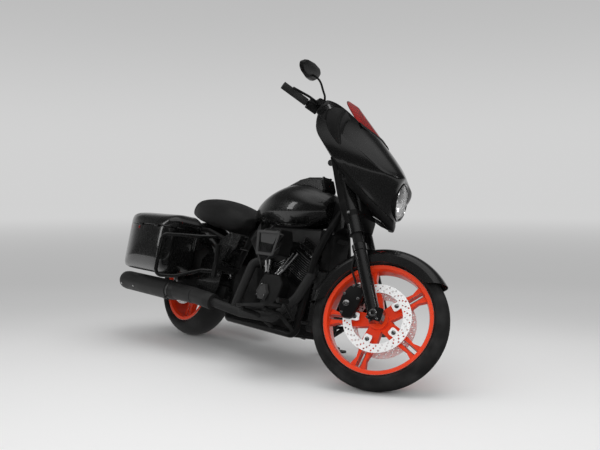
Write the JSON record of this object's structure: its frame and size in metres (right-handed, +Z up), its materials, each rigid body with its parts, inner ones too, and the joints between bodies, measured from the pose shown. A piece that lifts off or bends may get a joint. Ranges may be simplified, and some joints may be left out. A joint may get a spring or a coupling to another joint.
{
  "type": "touring cruiser motorcycle",
  "caption": "Touring cruiser motorcycle leaning on its side stand, with fork-mounted fairing, air-cooled V-twin, hard saddlebags and cast split-spoke wheels",
  "frame": {"origin": "on the floor under the middle of the parked machine's box", "axes": "+X along the machine toward its front wheel, +Y to the rider's left, +Z up"},
  "size_m": [2.3616, 0.9698, 1.524],
  "materials": {
    "bright": "chrome",
    "disc_steel": "ground steel",
    "dull_silver": "dull satin silver",
    "gloss_black": "gloss black paint",
    "lamp_glass": "clear lens",
    "lamp_red": "red lens",
    "matte_black": "matte black heat-proof paint",
    "satin_black": "satin black powder coat",
    "screen_red": "red tinted acrylic",
    "seat_vinyl": "textured black vinyl",
    "soft_rubber": "moulded rubber",
    "trim_plastic": "grained black plastic",
    "tyre_rubber": "tyre rubber",
    "vermilion": "gloss orange-red paint"
  },
  "bodies": {
    "chassis": {"frame": "satin_black", "engine_cases": "satin_black", "front_cylinder": "satin_black", "rear_cylinder": "satin_black", "rocker_covers": "gloss_black", "cam_cover": "satin_black", "timer_cover": "dull_silver", "pushrod_tubes": "bright", "primary_cover": "gloss_black", "air_cleaner": "satin_black", "exhaust_headers": "matte_black", "mufflers": "matte_black", "swingarm": "satin_black", "rear_axle": "bright", "shocks": "satin_black", "drive_belt": "soft_rubber", "rear_fender": "gloss_black", "fuel_tank": "gloss_black", "tank_console": "gloss_black", "seat": "seat_vinyl", "saddlebag_right": "gloss_black", "saddlebag_left": "gloss_black", "bag_guards": "gloss_black", "oil_cooler": "matte_black", "footboards": "soft_rubber", "passenger_pegs": "satin_black", "side_covers": "gloss_black", "foot_controls": "satin_black", "rear_caliper": "satin_black", "neck_cover": "satin_black", "coil_cover": "matte_black", "rear_lamps": "lamp_red"},
    "fork": {"front_axle": "bright", "fork_sliders": "gloss_black", "fork_tubes": "satin_black", "steering_clamps": "satin_black", "fork_covers": "gloss_black", "front_fender": "gloss_black", "front_calipers": "satin_black", "fairing_outer": "gloss_black", "headlamp": "lamp_glass", "windshield": "screen_red", "windshield_trim": "satin_black", "handlebar": "satin_black", "hand_grips": "soft_rubber", "hand_controls": "satin_black", "fairing_inner": "trim_plastic", "mirrors": "satin_black", "brake_hoses": "soft_rubber"},
    "front_wheel": {"front_tyre": "tyre_rubber", "front_wheel": "vermilion", "front_rotors": "disc_steel"},
    "rear_wheel": {"rear_tyre": "tyre_rubber", "rear_wheel": "vermilion", "rear_rotor": "disc_steel", "rear_pulley": "satin_black"},
    "side_stand": {"side_stand": "satin_black"},
    "lid_right": {"bag_lid_right": "gloss_black"},
    "lid_left": {"bag_lid_left": "gloss_black"},
    "fuel_door": {"fuel_door": "gloss_black"}
  },
  "joints": [
    {"name": "steering", "type": "hinge", "parent": "chassis", "child": "fork", "pos_m": [0.64404, 0.07329, 0.83462], "axis": [-0.4279, 0.1991, 0.8816], "range_deg": [-65.2, 0]},
    {"name": "front_wheel_spin", "type": "hinge", "parent": "fork", "child": "front_wheel", "pos_m": [0.89379, -0.05526, 0.29699], "axis": [-0.4892, 0.7692, -0.4112], "continuous": true},
    {"name": "rear_wheel_spin", "type": "hinge", "parent": "chassis", "child": "rear_wheel", "pos_m": [-0.73284, -0.04688, 0.32207], "axis": [-0.0026, 0.9751, -0.2215], "continuous": true},
    {"name": "side_stand_fold", "type": "hinge", "parent": "chassis", "child": "side_stand", "pos_m": [0.16476, 0.07875, 0.11505], "axis": [-0.0488, 0.5045, 0.8621], "range_deg": [0, 86.8]},
    {"name": "right_lid_hinge", "type": "hinge", "parent": "chassis", "child": "lid_right", "pos_m": [-0.7284, -0.41024, 0.69522], "axis": [0.9999, 0, -0.0119], "range_deg": [0, 75]},
    {"name": "left_lid_hinge", "type": "hinge", "parent": "chassis", "child": "lid_left", "pos_m": [-0.7307, 0.44205, 0.5016], "axis": [-0.9999, 0, 0.0119], "range_deg": [0, 75]},
    {"name": "fuel_door_hinge", "type": "hinge", "parent": "chassis", "child": "fuel_door", "pos_m": [0.33277, 0.09965, 0.95438], "axis": [-0.0026, 0.9751, -0.2215], "range_deg": [0, 95]}
  ]
}
